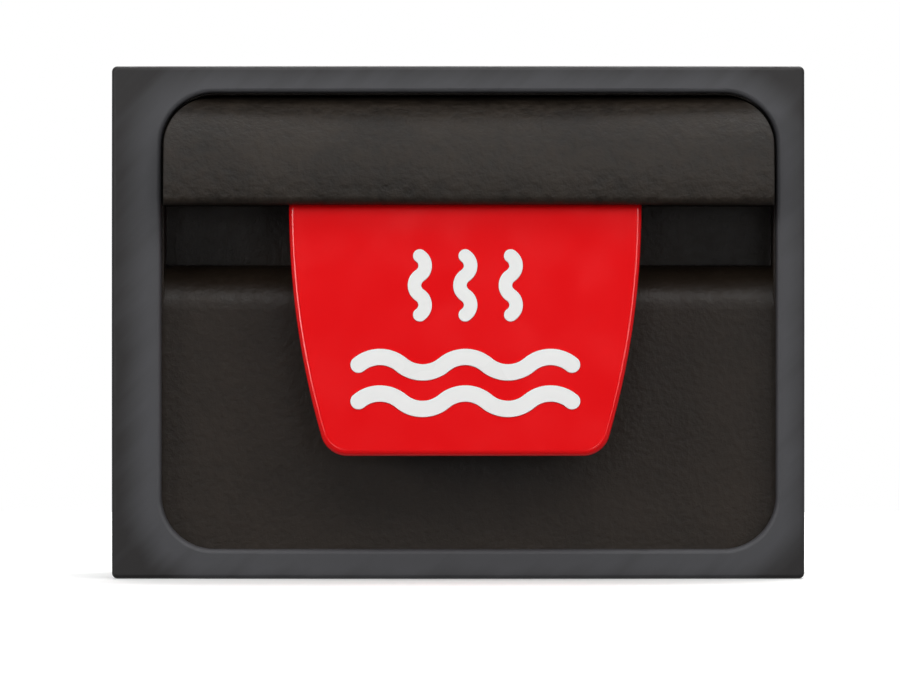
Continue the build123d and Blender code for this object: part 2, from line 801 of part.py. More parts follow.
# Back plate with a stiffening flange folded forward along its top
plate_top = fascia_height / 2 - plate_drop
plate_low = -fascia_height / 2
bolt_x = plate_width / 2 - bolt_inset
bolt_z = plate_top - bolt_drop
with BuildPart() as back_plate:
    with BuildSketch(Plane.XZ) as sheet:
        with Locations((0, (plate_top + plate_low) / 2)):
            Rectangle(plate_width, plate_top - plate_low)
        fillet(sheet.vertices(), plate_corner)
        with GridLocations(2 * bolt_x, 2 * bolt_z, 2, 2):
            Circle(bolt_hole, mode=Mode.SUBTRACT)
        with Locations((0, inlet_z)):
            Circle(shank_radius + shank_hole_gap, mode=Mode.SUBTRACT)
    extrude(amount=plate_thickness)
    with BuildSketch(Plane.XZ):
        with Locations((0, plate_top - plate_thickness / 2)):
            Rectangle(plate_width - 2 * plate_flange_margin, plate_thickness)
    extrude(amount=plate_flange)
    with Locations(Plane(origin=(0, 0, 0), x_dir=(1, 0, 0), z_dir=(0, 1, 0))):
        with Locations(*[(x, -z) for x, z in foot_places]):
            CounterSinkHole(
                plate_shank + plate_hole_gap, plate_screw_head + plate_hole_gap, plate_thickness,
            )
back_plate.part.label = "back_plate"
export_step(back_plate.part, "parts/back_plate.step")

# Valve body: chamber, seat, outlet neck and an inlet branch that passes through the back plate
shoulder_y = -plate_thickness - inlet_gasket_thickness
with BuildPart() as valve_body:
    with BuildSketch(valve_plane(body_low)):
        Circle(body_radius)
    extrude(amount=body_top - body_low)
    chamfer(valve_body.edges().group_by(Axis.Z)[0], hex_chamfer)
    with BuildSketch(inlet_plane(shank_length)):
        Circle(shank_radius)
    extrude(amount=shank_length - shoulder_y)
    with BuildSketch(inlet_plane(shoulder_y)):
        Circle(shoulder_flange_radius)
    extrude(amount=shoulder_flange)
    with BuildSketch(inlet_plane(shoulder_y)):
        Circle(branch_radius)
    extrude(amount=valve_standoff + shoulder_y)
    with BuildSketch(valve_plane(neck_low)):
        Circle(neck_radius)
    extrude(amount=neck_length)
    with BuildSketch(valve_plane(chamber_floor)):
        Circle(chamber_radius)
        Circle(seat_bore + seat_width, mode=Mode.SUBTRACT)
    extrude(amount=body_top - chamber_floor, mode=Mode.SUBTRACT)
    with BuildSketch(valve_plane(seat_top)):
        Circle(seat_bore + seat_width)
    extrude(amount=body_top - seat_top, mode=Mode.SUBTRACT)
    with BuildSketch(valve_plane(neck_low)):
        Circle(seat_bore)
    extrude(amount=seat_top - neck_low, mode=Mode.SUBTRACT)
    with BuildSketch(inlet_plane(shank_length)):
        Circle(inlet_bore)
    extrude(amount=shank_length + valve_standoff - seat_bore - seat_width, mode=Mode.SUBTRACT)
valve_body.part.label = "valve_body"
export_step(valve_body.part, "parts/valve_body.step")

# Bonnet: gland that guides the stem, hexagon, and an open cage around the spring
groove_height = 2 * (seal_section + seal_gap)
groove_low = (gland_low + bonnet_seat - groove_height) / 2
seal_orbit = stem_radius + seal_gap + seal_section
cage_window_height = roof_z - cage_floor - 2 * cage_window_margin
with BuildPart() as valve_bonnet:
    add(hex_prism(valve_plane(bonnet_seat), bonnet_flats, bonnet_flange))
    with BuildSketch(valve_plane(gland_low)):
        Circle(gland_radius)
    extrude(amount=bonnet_seat - gland_low)
    with BuildSketch(valve_plane(cage_floor)):
        Circle(cage_radius)
    extrude(amount=cage_top - cage_floor)
    chamfer(valve_bonnet.edges().group_by(Axis.Z)[-1], hex_chamfer)
    with BuildSketch(valve_plane(cage_floor)):
        Circle(cage_bore)
    extrude(amount=roof_z - cage_floor, mode=Mode.SUBTRACT)
    with BuildSketch(valve_plane(cage_floor + cage_window_margin)):
        with PolarLocations(cage_radius, 4, start_angle=45):
            Rectangle(cage_radius, cage_window)
    extrude(amount=cage_window_height, mode=Mode.SUBTRACT)
    with BuildSketch(valve_plane(gland_low)):
        Circle(stem_radius + slide_gap)
    extrude(amount=cage_top - gland_low, mode=Mode.SUBTRACT)
    with BuildSketch(valve_plane(groove_low)):
        Circle(seal_orbit + seal_section + seal_gap)
        Circle(stem_radius, mode=Mode.SUBTRACT)
    extrude(amount=groove_height, mode=Mode.SUBTRACT)
valve_bonnet.part.label = "valve_bonnet"
export_step(valve_bonnet.part, "parts/valve_bonnet.step")

with BuildPart() as stem_seal:
    with Locations((0, valve_y, groove_low + groove_height / 2)):
        Torus(seal_orbit, seal_section)
stem_seal.part.label = "stem_seal"
export_step(stem_seal.part, "parts/stem_seal.step")

with BuildPart() as bonnet_seal:
    with BuildSketch(valve_plane(body_top)):
        Circle(min(body_radius, bonnet_flats / 2) - thread_gap)
        Circle(chamber_radius, mode=Mode.SUBTRACT)
    extrude(amount=bonnet_seal_thickness)
bonnet_seal.part.label = "bonnet_seal"
export_step(bonnet_seal.part, "parts/bonnet_seal.step")

with BuildPart() as fork_buffer:
    with BuildSketch(valve_plane(cage_top)):
        Circle(buffer_radius)
        Circle(stem_radius + slide_gap, mode=Mode.SUBTRACT)
    extrude(amount=buffer_thickness)
    chamfer(fork_buffer.edges().group_by(Axis.Z)[-1].sort_by(SortBy.LENGTH)[-1], hex_chamfer)
fork_buffer.part.label = "fork_buffer"
export_step(fork_buffer.part, "parts/fork_buffer.step")

# Stem with a foot for its sealing washer and a groove for the clip under the spring
stem_top = head_z + head_bore - thread_gap
with BuildPart() as valve_stem:
    with BuildSketch(valve_plane(washer_low + spigot_inset)):
        Circle(stem_radius)
    extrude(amount=stem_top - washer_low - spigot_inset)
    with BuildSketch(valve_plane(foot_low)):
        Circle(foot_radius)
    extrude(amount=foot_thickness)
    with BuildSketch(valve_plane(clip_low)):
        Circle(stem_radius + overrun)
        Circle(stem_radius - groove_depth, mode=Mode.SUBTRACT)
    extrude(amount=stem_clip_thickness, mode=Mode.SUBTRACT)
valve_stem.part.label = "valve_stem"
export_step(valve_stem.part, "parts/valve_stem.step")

with BuildPart() as seat_washer:
    with BuildSketch(valve_plane(washer_low)):
        Circle(washer_radius)
        Circle(stem_radius + thread_gap, mode=Mode.SUBTRACT)
    extrude(amount=washer_thickness)
seat_washer.part.label = "seat_washer"
export_step(seat_washer.part, "parts/seat_washer.step")

with BuildPart() as stem_head:
    with BuildSketch(valve_plane(head_z)):
        Circle(head_radius)
    extrude(amount=head_flange)
    add(hex_prism(valve_plane(head_z + head_flange), head_flats, head_height - head_flange))
    with BuildSketch(valve_plane(head_z)):
        Circle(stem_radius + thread_gap)
    extrude(amount=head_bore, mode=Mode.SUBTRACT)
stem_head.part.label = "stem_head"
export_step(stem_head.part, "parts/stem_head.step")

with BuildPart() as spring_seat:
    with BuildSketch(valve_plane(clip_top)):
        Circle(spring_seat_radius)
        Circle(stem_radius + thread_gap, mode=Mode.SUBTRACT)
    extrude(amount=spring_seat_thickness)
spring_seat.part.label = "spring_seat"
export_step(spring_seat.part, "parts/spring_seat.step")

with BuildPart() as stem_clip:
    add(open_ring(
        valve_plane(clip_low), stem_radius - groove_depth + pin_gap, stem_clip_width, stem_clip_mouth,
        stem_clip_thickness,
    ))
stem_clip.part.label = "stem_clip"
export_step(stem_clip.part, "parts/stem_clip.step")

# Return spring: a helix of quarter turns, each drawn as two arcs that share their tangents
coil_rise = spring_length - spring_wire - 2 * spring_gap
coil_pitch = coil_rise / spring_turns
coil_low = spring_low + spring_gap + spring_wire / 2


def coil_point(turn):
    angle = 2 * math.pi * turn
    return Vector(
        spring_radius * math.cos(angle),
        valve_y + spring_radius * math.sin(angle),
        coil_low + coil_pitch * turn,
    )


def coil_tangent(turn):
    angle = 2 * math.pi * turn
    round_speed = 2 * math.pi * spring_radius
    return Vector(-round_speed * math.sin(angle), round_speed * math.cos(angle), coil_pitch).normalized()


with BuildPart() as return_spring:
    with BuildLine() as coil:
        for quarter in range(4 * spring_turns):
            start, end = coil_point(quarter / 4), coil_point((quarter + 1) / 4)
            leave, arrive = coil_tangent(quarter / 4), coil_tangent((quarter + 1) / 4)
            chord = end - start
            slack = 2 * (1 - leave.dot(arrive))
            pull = chord.dot(leave + arrive)
            arm = (math.sqrt(pull * pull + slack * chord.dot(chord)) - pull) / slack
            joint = (start + leave * arm + end - arrive * arm) / 2
            TangentArc(start, joint, tangent=leave)
            TangentArc(joint, end, tangent=end - arrive * arm - joint)
    with BuildSketch(Plane(origin=coil_point(0), z_dir=coil_tangent(0))):
        Circle(spring_wire / 2)
    sweep(path=coil.wires()[0])
return_spring.part.label = "return_spring"
export_step(return_spring.part, "parts/return_spring.step")

coil_steps = 48
coil_points = [coil_point(step / coil_steps) for step in range(coil_steps * spring_turns + 1)]
coil_gap = min(
    (a - b).length - spring_wire
    for i, a in enumerate(coil_points)
    for b in coil_points[i + coil_steps // 2:]
)
print(f"return spring: least gap between turns {coil_gap:.2f} mm")

# Spout: tube with a collar, drawn up on its seal by a union nut, with a flow straightener inside
collar_radius = neck_radius - tube_flange_gap
with BuildPart() as spout_tube:
    with BuildSketch(valve_plane(tube_low)):
        Circle(tube_radius)
    extrude(amount=tube_top - tube_low)
    with BuildSketch(valve_plane(tube_flange_low)):
        Circle(collar_radius)
    extrude(amount=tube_flange)
    with BuildSketch(valve_plane(tube_low)):
        Circle(tube_radius - tube_wall)
    extrude(amount=tube_top - tube_low, mode=Mode.SUBTRACT)
    chamfer(spout_tube.edges().group_by(Axis.Z)[0], spout_chamfer)
spout_tube.part.label = "spout_tube"
export_step(spout_tube.part, "parts/spout_tube.step")

with BuildPart() as spout_seal:
    with BuildSketch(valve_plane(tube_top)):
        Circle(collar_radius)
        Circle(seat_bore, mode=Mode.SUBTRACT)
    extrude(amount=spout_seal_thickness)
spout_seal.part.label = "spout_seal"
export_step(spout_seal.part, "parts/spout_seal.step")

with BuildPart() as spout_nut:
    add(hex_prism(valve_plane(nut_low), nut_flats, body_low - nut_clearance - nut_low))
    with BuildSketch(valve_plane(nut_low)):
        Circle(tube_radius + nut_tube_gap)
    extrude(amount=nut_wall, mode=Mode.SUBTRACT)
    with BuildSketch(valve_plane(tube_flange_low)):
        Circle(neck_radius + thread_gap)
    extrude(amount=body_low - tube_flange_low, mode=Mode.SUBTRACT)
spout_nut.part.label = "spout_nut"
export_step(spout_nut.part, "parts/spout_nut.step")

insert_radius = tube_radius - tube_wall - insert_gap
with BuildPart() as outlet_insert:
    with BuildSketch(valve_plane(tube_low + insert_inset)):
        Circle(insert_radius)
        Circle(insert_radius - insert_wall, mode=Mode.SUBTRACT)
        Rectangle(2 * insert_radius - insert_wall, insert_wall)
        Rectangle(insert_wall, 2 * insert_radius - insert_wall)
    extrude(amount=insert_height)
outlet_insert.part.label = "outlet_insert"
export_step(outlet_insert.part, "parts/outlet_insert.step")

# Inlet: gasket in front of the back plate, locknut behind it, hose tail screwed into the shank
with BuildPart() as inlet_gasket:
    with BuildSketch(inlet_plane(-plate_thickness)):
        Circle(shoulder_flange_radius)
        Circle(shank_radius + shank_hole_gap, mode=Mode.SUBTRACT)
    extrude(amount=inlet_gasket_thickness)
inlet_gasket.part.label = "inlet_gasket"
export_step(inlet_gasket.part, "parts/inlet_gasket.step")

with BuildPart() as inlet_locknut:
    add(hex_prism(inlet_plane(locknut_height), locknut_flats, locknut_height))
    with BuildSketch(inlet_plane(locknut_height)):
        Circle(shank_radius + thread_gap)
    extrude(amount=locknut_height, mode=Mode.SUBTRACT)
inlet_locknut.part.label = "inlet_locknut"
export_step(inlet_locknut.part, "parts/inlet_locknut.step")

with BuildPart() as tail_seal:
    with BuildSketch(inlet_plane(shank_length + tail_seal_thickness)):
        Circle(shank_radius)
        Circle(inlet_bore, mode=Mode.SUBTRACT)
    extrude(amount=tail_seal_thickness)
tail_seal.part.label = "tail_seal"
export_step(tail_seal.part, "parts/tail_seal.step")

tail_seat = shank_length + tail_seal_thickness
tail_end = tail_seat + tail_hex + tail_length
with BuildPart() as hose_tail:
    add(hex_prism(inlet_plane(tail_seat + tail_hex), tail_flats, tail_hex))
    with BuildSketch(inlet_plane(tail_end)):
        Circle(tail_radius)
    extrude(amount=tail_length)
    chamfer(hose_tail.edges().group_by(Axis.Y)[-1], tail_chamfer)
    with BuildSketch(inlet_plane(tail_seat)):
        Circle(inlet_bore - thread_gap)
    extrude(amount=tail_thread + tail_seal_thickness)
    with BuildSketch(inlet_plane(tail_end)):
        Circle(tail_bore)
    extrude(amount=tail_end - shank_length + tail_thread, mode=Mode.SUBTRACT)
hose_tail.part.label = "hose_tail"
export_step(hose_tail.part, "parts/hose_tail.step")

# Screws and nuts
fascia_screws = cross_screws(
    front_plane(flange_rear), post_places, small_shank, flange_thickness + fascia_screw_grip,
    small_head, small_head_height,
)
fascia_screws.part.label = "fascia_screws"
export_step(fascia_screws.part, "parts/fascia_screws.step")

hood_screws = cross_screws(
    front_plane(back_reach - liner_wall), boss_places, screw_shank,
    liner_wall + hood_screw_grip - pilot_gap, screw_head, screw_head_height,
)
hood_screws.part.label = "hood_screws"
export_step(hood_screws.part, "parts/hood_screws.step")

bracket_screws = cross_screws(
    front_plane(flange_rear - bracket_thickness), ear_places, screw_shank,
    bracket_thickness + liner_screw_grip, screw_head, screw_head_height,
)
bracket_screws.part.label = "bracket_screws"
export_step(bracket_screws.part, "parts/bracket_screws.step")

paddle_screws = cross_screws(
    paddle_plane.offset(-cap_skin - lever_plate), cap_places, small_shank, paddle_screw_grip,
    paddle_screw_head, small_head_height,
)
paddle_screws.part.label = "paddle_screws"
export_step(paddle_screws.part, "parts/paddle_screws.step")

plate_screw_length = plate_thickness + bracket_thickness + plate_nut_height + plate_screw_end
with BuildPart() as plate_screws:
    with BuildSketch(Plane.XZ):
        with Locations(*foot_places):
            Circle(plate_shank)
    extrude(amount=plate_screw_length)
    with Locations(Plane.XZ):
        with Locations(*foot_places):
            Cone(
                plate_screw_head, plate_shank, plate_screw_cone,
                align=(Align.CENTER, Align.CENTER, Align.MIN),
            )
    with BuildSketch(Plane.XZ):
        with Locations(*foot_places):
            Rectangle(plate_screw_head * drive_share, drive_width)
            Rectangle(drive_width, plate_screw_head * drive_share)
    extrude(amount=drive_depth, mode=Mode.SUBTRACT)
plate_screws.part.label = "plate_screws"
export_step(plate_screws.part, "parts/plate_screws.step")

with BuildPart() as plate_nuts:
    with BuildSketch(front_plane(plate_reach + bracket_thickness)):
        with Locations(*foot_places):
            RegularPolygon(plate_nut_flats / 2, 6, major_radius=False)
            Circle(plate_shank + thread_gap, mode=Mode.SUBTRACT)
    extrude(amount=plate_nut_height)
plate_nuts.part.label = "plate_nuts"
export_step(plate_nuts.part, "parts/plate_nuts.step")
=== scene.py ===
import json
import math

import bpy
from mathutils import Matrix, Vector


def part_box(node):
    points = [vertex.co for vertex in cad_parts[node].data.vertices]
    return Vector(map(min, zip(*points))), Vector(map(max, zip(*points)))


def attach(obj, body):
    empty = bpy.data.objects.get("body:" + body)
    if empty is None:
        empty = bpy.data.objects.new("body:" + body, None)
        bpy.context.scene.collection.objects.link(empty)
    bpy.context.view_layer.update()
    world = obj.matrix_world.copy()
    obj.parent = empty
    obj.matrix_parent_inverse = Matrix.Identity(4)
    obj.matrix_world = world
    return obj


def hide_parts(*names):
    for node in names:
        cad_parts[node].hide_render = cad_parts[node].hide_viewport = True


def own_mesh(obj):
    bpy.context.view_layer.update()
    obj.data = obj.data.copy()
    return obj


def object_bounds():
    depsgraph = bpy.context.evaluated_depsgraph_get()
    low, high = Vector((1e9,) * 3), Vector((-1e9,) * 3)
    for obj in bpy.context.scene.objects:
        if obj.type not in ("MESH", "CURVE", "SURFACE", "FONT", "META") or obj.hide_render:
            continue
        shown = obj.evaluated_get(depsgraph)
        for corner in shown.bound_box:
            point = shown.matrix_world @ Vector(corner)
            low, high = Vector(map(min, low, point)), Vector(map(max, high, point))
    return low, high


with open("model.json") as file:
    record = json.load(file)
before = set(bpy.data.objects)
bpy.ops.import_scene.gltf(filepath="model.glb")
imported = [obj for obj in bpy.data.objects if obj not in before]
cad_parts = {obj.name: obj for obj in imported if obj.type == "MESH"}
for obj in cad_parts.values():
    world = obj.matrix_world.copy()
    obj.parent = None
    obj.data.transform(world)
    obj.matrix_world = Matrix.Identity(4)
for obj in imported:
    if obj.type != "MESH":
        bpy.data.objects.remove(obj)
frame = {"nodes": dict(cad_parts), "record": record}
nodes = frame["nodes"]
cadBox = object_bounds()
mm = 0.001
print("frame loaded with", len(nodes), "pieces")

# places that everything else is set from
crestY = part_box("fascia")[0].y            # the frame's front
floorZ = cadBox[0].z
springLow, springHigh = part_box("return_spring")
stemLow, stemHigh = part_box("valve_stem")
valveX = (stemLow.x + stemHigh.x) / 2     # upright axis that the valve is turned about
valveY = (stemLow.y + stemHigh.y) / 2

noiseLow, noiseHigh = 0.3, 0.7            # most of a noise texture lies between these
colourA, colourB, colourOut = 6, 7, 2     # a Mix node's sockets for two colours and their mix


def linear(hexColour):
    channels = [int(hexColour[i:i + 2], 16) / 255 for i in (1, 3, 5)]
    return [c / 12.92 if c <= 0.04045 else ((c + 0.055) / 1.055) ** 2.4 for c in channels] + [1.0]


def addNode(tree, kind, settings=None, links=None):
    node = tree.nodes.new(kind)
    for name, value in (settings or {}).items():
        if isinstance(name, str) and hasattr(node, name):
            setattr(node, name, value)
        else:
            node.inputs[name].default_value = value
    for name, socket in (links or {}).items():
        tree.links.new(socket, node.inputs[name])
    return node


def newMaterial(name, settings):
    material = bpy.data.materials.new(name)
    material.use_nodes = True
    tree = material.node_tree
    shader = tree.nodes["Principled BSDF"]
    for socket, value in settings.items():
        shader.inputs[socket].default_value = value
    place = addNode(tree, "ShaderNodeTexCoord").outputs["Object"]
    return material, tree, shader, place


def feedShader(tree, shader, sockets):
    for name, socket in sockets.items():
        tree.links.new(socket, shader.inputs[name])


# ABS moulded in a spark-eroded tool: near black, with a dull grain that breaks up the light.
# The grain is drawn coarse enough to show from the front
def grainedAbs(name, skin):
    grain = {"patch": 9.0, "edge": 0.35, "uneven": 0.06, "relief": 0.9}
    material, tree, shader, place = newMaterial(name, {"IOR": skin["ior"]})
    pits = addNode(tree, "ShaderNodeTexNoise",
                   {"Scale": 1 / (skin["width"] * mm), "Detail": 3.0, "Roughness": 0.6}, {"Vector": place})
    patches = addNode(tree, "ShaderNodeTexNoise",
                      {"Scale": 1 / (grain["patch"] * mm), "Detail": 2.0}, {"Vector": place})
    both = addNode(tree, "ShaderNodeMath", {"operation": "ADD"},
                   {0: pits.outputs["Fac"], 1: patches.outputs["Fac"]})
    mottle = addNode(tree, "ShaderNodeMapRange",              # the sum lies round 1
                     {"From Min": 1 - skin["spread"], "From Max": 1 + skin["spread"]},
                     {"Value": both.outputs["Value"]})
    colour = addNode(tree, "ShaderNodeMix",
                     {"data_type": "RGBA", colourA: linear(skin["dark"]), colourB: linear(skin["light"])},
                     {0: mottle.outputs["Result"]})
    dull = addNode(tree, "ShaderNodeMapRange",
                   {"From Min": noiseLow, "From Max": noiseHigh,
                    "To Min": skin["rough"] - grain["uneven"], "To Max": skin["rough"] + grain["uneven"]},
                   {"Value": pits.outputs["Fac"]})
    eased = addNode(tree, "ShaderNodeBevel", {"samples": 6, "Radius": grain["edge"] * mm})
    bump = addNode(tree, "ShaderNodeBump", {"Strength": grain["relief"], "Distance": skin["depth"] * mm},
                   {"Height": pits.outputs["Fac"], "Normal": eased.outputs["Normal"]})
    feedShader(tree, shader, {"Base Color": colour.outputs[colourOut], "Roughness": dull.outputs["Result"],
                              "Normal": bump.outputs["Normal"]})
    return material


# ABS moulded satin, dark grey, with faint slanting streaks: a painted highlight makes it paler along the
# opening, fading to the darker grey away from it
def satinAbs(name, skin):
    streak = {"length": 24.0, "width": 3.0, "slant": 45}
    opening = {"middle": (0.2, 0, -0.4), "half": (43.5, 0, 32.3), "corner": 7.5}
    # painted highlight along the opening: where it starts and ends out from the outline, and how much the
    # streaks break it up
    paintedSheen = {"start": 0.8, "end": 6.6, "uneven": 0.2}
    material, tree, shader, place = newMaterial(name, {"IOR": skin["ior"]})
    turned = addNode(tree, "ShaderNodeMapping", {"Rotation": (0, math.radians(streak["slant"]), 0)},
                     {"Vector": place})
    drawn = addNode(tree, "ShaderNodeMapping",
                    {"Scale": (1 / (streak["length"] * mm), 1, 1 / (streak["width"] * mm))},
                    {"Vector": turned.outputs["Vector"]})
    streaks = addNode(tree, "ShaderNodeTexNoise", {"Scale": 1.0, "Detail": 3.0},
                      {"Vector": drawn.outputs["Vector"]})
    # distance out from the opening's rounded outline
    flat = addNode(tree, "ShaderNodeVectorMath", {"operation": "MULTIPLY", 1: (1, 0, 1)}, {0: place})
    centred = addNode(tree, "ShaderNodeVectorMath",
                      {"operation": "SUBTRACT", 1: [size * mm for size in opening["middle"]]},
                      {0: flat.outputs[0]})
    folded = addNode(tree, "ShaderNodeVectorMath", {"operation": "ABSOLUTE"}, {0: centred.outputs[0]})
    corner = [max(size - opening["corner"], 0) * mm for size in opening["half"]]
    outside = addNode(tree, "ShaderNodeVectorMath", {"operation": "SUBTRACT", 1: corner},
                      {0: folded.outputs[0]})
    clipped = addNode(tree, "ShaderNodeVectorMath", {"operation": "MAXIMUM", 1: (0, 0, 0)},
                      {0: outside.outputs[0]})
    away = addNode(tree, "ShaderNodeVectorMath", {"operation": "LENGTH"}, {0: clipped.outputs[0]})
    # painted highlight: full near the opening's edge, gone a few millimetres out
    paintedSheenMask = addNode(tree, "ShaderNodeMapRange",
                     {"interpolation_type": "SMOOTHSTEP",
                      "From Min": (opening["corner"] + paintedSheen["start"]) * mm,
                      "From Max": (opening["corner"] + paintedSheen["end"]) * mm, "To Min": 1.0, "To Max": 0.0},
                     {"Value": away.outputs["Value"]})
    patchy = addNode(tree, "ShaderNodeMapRange",
                     {"From Min": noiseLow, "From Max": noiseHigh,
                      "To Min": -paintedSheen["uneven"], "To Max": paintedSheen["uneven"]},
                     {"Value": streaks.outputs["Fac"]})
    # painted highlight, broken up by the streaks' uneven tone
    paintedSheenWithStreaks = addNode(tree, "ShaderNodeMath", {"operation": "ADD", "use_clamp": True},
                   {0: paintedSheenMask.outputs["Result"], 1: patchy.outputs["Result"]})
    colour = addNode(tree, "ShaderNodeMix",
                     {"data_type": "RGBA", colourA: linear(skin["dark"]), colourB: linear(skin["light"])},
                     {0: paintedSheenWithStreaks.outputs["Value"]})
    dull = addNode(tree, "ShaderNodeMapRange",
                   {"From Min": noiseLow, "From Max": noiseHigh,
                    "To Min": skin["rough"] - skin["uneven"], "To Max": skin["rough"] + skin["uneven"]},
                   {"Value": streaks.outputs["Fac"]})
    feedShader(tree, shader, {"Base Color": colour.outputs[colourOut], "Roughness": dull.outputs["Result"]})
    return material


# ABS moulded glossy, one colour all through: rounded edges take a pale line of light
def glossAbs(name, skin):
    ripple = {"width": 6.0, "depth": 0.02, "uneven": 0.04, "relief": 0.2}
    material, tree, shader, place = newMaterial(name, {"IOR": 1.4})
    flow = addNode(tree, "ShaderNodeTexNoise", {"Scale": 1 / (ripple["width"] * mm), "Detail": 2.0},
                   {"Vector": place})
    colour = addNode(tree, "ShaderNodeMix",
                     {"data_type": "RGBA", colourA: linear(skin["dark"]), colourB: linear(skin["light"])},
                     {0: flow.outputs["Fac"]})
    dull = addNode(tree, "ShaderNodeMapRange",
                   {"From Min": noiseLow, "From Max": noiseHigh,
                    "To Min": skin["rough"] - ripple["uneven"], "To Max": skin["rough"] + ripple["uneven"]},
                   {"Value": flow.outputs["Fac"]})
    bump = addNode(tree, "ShaderNodeBump", {"Strength": ripple["relief"], "Distance": ripple["depth"] * mm},
                   {"Height": flow.outputs["Fac"]})
    feedShader(tree, shader, {"Base Color": colour.outputs[colourOut], "Roughness": dull.outputs["Result"],
                              "Normal": bump.outputs["Normal"]})
    return material


# moulded dull plastic and rubber: even colour with a fine matt skin
def mattMoulded(name, skin):
    material, tree, shader, place = newMaterial(name, {"IOR": 1.48, "Roughness": skin["rough"]})
    fine = addNode(tree, "ShaderNodeTexNoise", {"Scale": 1 / (skin["width"] * mm), "Detail": 3.0},
                   {"Vector": place})
    colour = addNode(tree, "ShaderNodeMix",
                     {"data_type": "RGBA", colourA: linear(skin["dark"]), colourB: linear(skin["light"])},
                     {0: fine.outputs["Fac"]})
    bump = addNode(tree, "ShaderNodeBump", {"Strength": 0.3, "Distance": skin["depth"] * mm},
                   {"Height": fine.outputs["Fac"]})
    feedShader(tree, shader, {"Base Color": colour.outputs[colourOut], "Normal": bump.outputs["Normal"]})
    return material


# bare metal with eased edges that catch the light. Its pattern is as big along X, Y and Z as "size" says:
# one small number gives tool lines, and three alike give an even, cloudy skin.
# Lines are drawn coarser than real ones so that they show
def linedMetal(name, skin):
    cut = {"uneven": 0.07, "relief": 0.25}
    material, tree, shader, place = newMaterial(name, {"Metallic": 1.0})
    drawn = addNode(tree, "ShaderNodeMapping", {"Scale": [1 / (size * mm) for size in skin["size"]]},
                    {"Vector": place})
    lines = addNode(tree, "ShaderNodeTexNoise", {"Scale": 1.0, "Detail": 4.0, "Roughness": 0.6},
                    {"Vector": drawn.outputs["Vector"]})
    stain = addNode(tree, "ShaderNodeTexNoise", {"Scale": 1 / (skin["stain"] * mm), "Detail": 2.0},
                    {"Vector": place})
    colour = addNode(tree, "ShaderNodeMix",
                     {"data_type": "RGBA", colourA: linear(skin["dark"]), colourB: linear(skin["light"])},
                     {0: stain.outputs["Fac"]})
    dull = addNode(tree, "ShaderNodeMapRange",
                   {"From Min": noiseLow, "From Max": noiseHigh,
                    "To Min": skin["rough"] - cut["uneven"], "To Max": skin["rough"] + cut["uneven"]},
                   {"Value": lines.outputs["Fac"]})
    eased = addNode(tree, "ShaderNodeBevel", {"samples": 6, "Radius": skin["edge"] * mm})
    bump = addNode(tree, "ShaderNodeBump", {"Strength": cut["relief"], "Distance": skin["depth"] * mm},
                   {"Height": lines.outputs["Fac"], "Normal": eased.outputs["Normal"]})
    feedShader(tree, shader, {"Base Color": colour.outputs[colourOut], "Roughness": dull.outputs["Result"],
                              "Normal": bump.outputs["Normal"]})
    return material


# stainless steel, turned: bright, with lines round an upright axis
turnedSteel = {"dark": "#b4b4b2", "light": "#c6c6c4", "rough": 0.24,
               "size": (9.0, 9.0, 0.22), "depth": 0.01, "stain": 8.0, "edge": 0.15}
# brass, turned and left bare: warm yellow, darker in places, with lines round an upright axis
turnedBrass = {"dark": "#c9a760", "light": "#dabb78", "rough": 0.26,
               "size": (9.0, 9.0, 0.3), "depth": 0.012, "stain": 7.0, "edge": 0.2}

